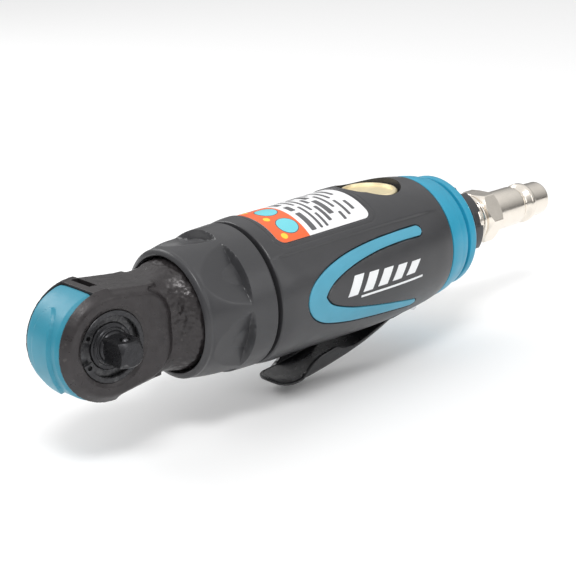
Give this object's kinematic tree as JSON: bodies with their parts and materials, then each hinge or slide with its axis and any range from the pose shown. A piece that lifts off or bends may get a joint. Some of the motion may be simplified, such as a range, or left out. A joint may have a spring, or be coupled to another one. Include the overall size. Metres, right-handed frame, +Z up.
{
  "type": "air ratchet",
  "caption": "Compact pneumatic ratchet wrench: inline grip with bottom throttle lever, rear air nipple, clamp nut and an angled head with a square drive.",
  "frame": {"origin": "where the axis of the square drive crosses the long axis of the handle, in the middle of the ratchet head", "axes": "+X along the handle towards the air inlet, -Y out of the square drive, +Z up, away from the throttle lever"},
  "size_m": [0.192, 0.0418, 0.0494],
  "materials": {
    "head_cast": "cast and blackened",
    "grip_black": "satin moulded",
    "cover_blue": "satin moulded",
    "inlay_blue": "soft moulded",
    "black_oxide": "black oxide",
    "lever_black": "satin coated sheet",
    "tool_steel": "machined and hardened",
    "bearing_steel": "ground",
    "alloy": "machined",
    "bronze": "sintered bronze",
    "brass": "turned",
    "nickel": "nickel plated",
    "seal_rubber": "matt",
    "vane_resin": "fibre resin",
    "label_film": "printed film",
    "felt": "pressed felt"
  },
  "bodies": {
    "root": {"head_housing": "head_cast", "nose_cover": "cover_blue", "circlip": "black_oxide", "spring_washer": "black_oxide", "thrust_washer": "bronze", "crank_bearing": "bronze", "clamp_nut": "grip_black", "body_seal_ring": "seal_rubber", "ring_gear": "tool_steel", "motor_front_plate": "alloy", "front_bearing": "bearing_steel", "motor_cylinder": "alloy", "cylinder_dowel": "bearing_steel", "motor_rear_plate": "alloy", "rear_bearing": "bearing_steel", "grip_housing": "grip_black", "side_inlay_drive_side": "inlay_blue", "side_inlay_knob_side": "inlay_blue", "rating_label": "label_film", "valve_cap": "brass", "valve_cap_seal": "seal_rubber", "valve_seat": "brass", "valve_spring": "tool_steel", "stem_seal": "seal_rubber", "trigger_pin": "bearing_steel", "inlet_bushing": "grip_black", "exhaust_collar": "cover_blue", "exhaust_silencer": "felt", "inlet_screen": "bronze", "nipple_washer": "nickel", "air_nipple": "nickel"},
    "anvil": {"drive_anvil": "black_oxide", "detent_spring": "tool_steel", "pawl_pin": "bearing_steel"},
    "detent": {"detent_ball": "bearing_steel"},
    "reverse_knob": {"reverse_knob": "black_oxide", "pawl_plunger": "bearing_steel"},
    "pawl": {"pawl": "tool_steel"},
    "yoke": {"ratchet_yoke": "tool_steel"},
    "crank": {"crank_carrier": "tool_steel", "drive_bushing": "bronze", "planet_pin_1": "bearing_steel", "planet_pin_2": "bearing_steel", "planet_pin_3": "bearing_steel"},
    "planet_1": {"planet_gear_1": "tool_steel"},
    "planet_2": {"planet_gear_2": "tool_steel"},
    "planet_3": {"planet_gear_3": "tool_steel"},
    "rotor": {"rotor": "tool_steel", "rotor_vane_1": "vane_resin", "rotor_vane_2": "vane_resin", "rotor_vane_3": "vane_resin", "rotor_vane_4": "vane_resin", "rotor_vane_5": "vane_resin"},
    "trigger": {"throttle_lever": "lever_black"},
    "valve": {"valve_stem": "bearing_steel"}
  },
  "joints": [
    {"name": "anvil_spin", "type": "hinge", "parent": "root", "child": "anvil", "pos_m": [0, 0, 0], "axis": [0, -1, 0], "continuous": true},
    {"name": "detent_press", "type": "slide", "parent": "anvil", "child": "detent", "axis": [0, 0, -1], "range_m": [0, 0.0004], "stiffness_N_per_m": 300, "springref_m": -0.001, "deforming": ["detent_spring"]},
    {"name": "reverse_turn", "type": "hinge", "parent": "anvil", "child": "reverse_knob", "pos_m": [0, 0, 0], "axis": [0, 1, 0], "range_deg": [-25, 25]},
    {"name": "pawl_rock", "type": "hinge", "parent": "anvil", "child": "pawl", "pos_m": [-0.0046, 0, 0], "axis": [0, 1, 0], "range_deg": [-6, 6]},
    {"name": "yoke_swing", "type": "hinge", "parent": "root", "child": "yoke", "pos_m": [0, 0, 0], "axis": [0, 1, 0], "range_deg": [-4.5, 4.5]},
    {"name": "rotor_spin", "type": "hinge", "parent": "root", "child": "rotor", "pos_m": [0.066, 0, 0], "axis": [1, 0, 0], "continuous": true},
    {"name": "crank_spin", "type": "hinge", "parent": "root", "child": "crank", "pos_m": [0.022, 0, 0], "axis": [1, 0, 0], "continuous": true},
    {"name": "planet_spin_1", "type": "hinge", "parent": "crank", "child": "planet_1", "pos_m": [0.032, 0, 0.0081], "axis": [1, 0, 0], "continuous": true},
    {"name": "planet_spin_2", "type": "hinge", "parent": "crank", "child": "planet_2", "pos_m": [0.032, -0.00701, -0.00405], "axis": [1, 0, 0], "continuous": true},
    {"name": "planet_spin_3", "type": "hinge", "parent": "crank", "child": "planet_3", "pos_m": [0.032, 0.00701, -0.00405], "axis": [1, 0, 0], "continuous": true},
    {"name": "trigger_press", "type": "hinge", "parent": "root", "child": "trigger", "pos_m": [0.106, 0, -0.0172], "axis": [0, 1, 0], "range_deg": [0, 4.5], "stiffness_Nm_per_rad": 0.8, "springref_deg": -6.88},
    {"name": "valve_lift", "type": "slide", "parent": "root", "child": "valve", "axis": [0, 0, 1], "range_m": [0, 0.0008], "deforming": ["valve_spring"]}
  ],
  "couplings": [
    {"joint": "pawl_rock", "follows": "reverse_turn", "ratio": -0.24},
    {"joint": "crank_spin", "follows": "rotor_spin", "ratio": 0.22222},
    {"joint": "planet_spin_1", "follows": "rotor_spin", "ratio": -0.62222},
    {"joint": "planet_spin_2", "follows": "rotor_spin", "ratio": -0.62222},
    {"joint": "planet_spin_3", "follows": "rotor_spin", "ratio": -0.62222},
    {"joint": "valve_lift", "follows": "trigger_press", "m_per_rad": 0.0095}
  ]
}
